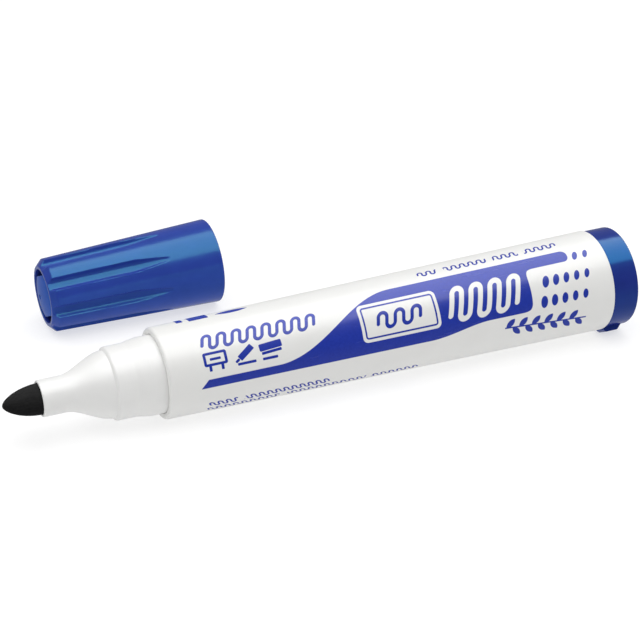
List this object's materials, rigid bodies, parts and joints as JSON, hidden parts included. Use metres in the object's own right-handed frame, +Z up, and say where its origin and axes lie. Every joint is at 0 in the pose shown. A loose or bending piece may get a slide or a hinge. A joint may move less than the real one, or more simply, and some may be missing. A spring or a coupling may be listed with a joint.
{
  "type": "felt tip marker",
  "caption": "Uncapped bullet-tip whiteboard marker lying beside its fluted cap, with a slim nib holder, ink reservoir and tail plug.",
  "frame": {"origin": "middle of the whole outline, on the table that the marker and its cap lie on", "axes": "+X along the marker from the nib towards the tail plug, +Y from the marker towards its cap, +Z up"},
  "size_m": [0.1192, 0.0568, 0.019],
  "materials": {
    "barrel_plastic": "smooth white moulded plastic with printed decoration",
    "nose_plastic": "satin white moulded plastic",
    "nib_felt": "ink-soaked compressed fibre",
    "reservoir_fibre": "ink-soaked fibre rod",
    "reservoir_wrap": "thin clear film",
    "plug_plastic": "glossy blue moulded plastic",
    "cap_plastic": "glossy blue moulded plastic",
    "cup_plastic": "satin blue moulded plastic"
  },
  "bodies": {
    "marker": {"barrel": "barrel_plastic", "nose": "nose_plastic", "nib": "nib_felt", "reservoir_core": "reservoir_fibre", "reservoir_film": "reservoir_wrap", "tail_plug": "plug_plastic"},
    "cap": {"cap_shell": "cap_plastic", "cap_inner_cup": "cup_plastic"}
  },
  "joints": [
    {"name": "cap_pull", "type": "slide", "parent": "marker", "child": "cap", "axis": [-1, 0, 0], "range_m": [0, 0.06]}
  ]
}
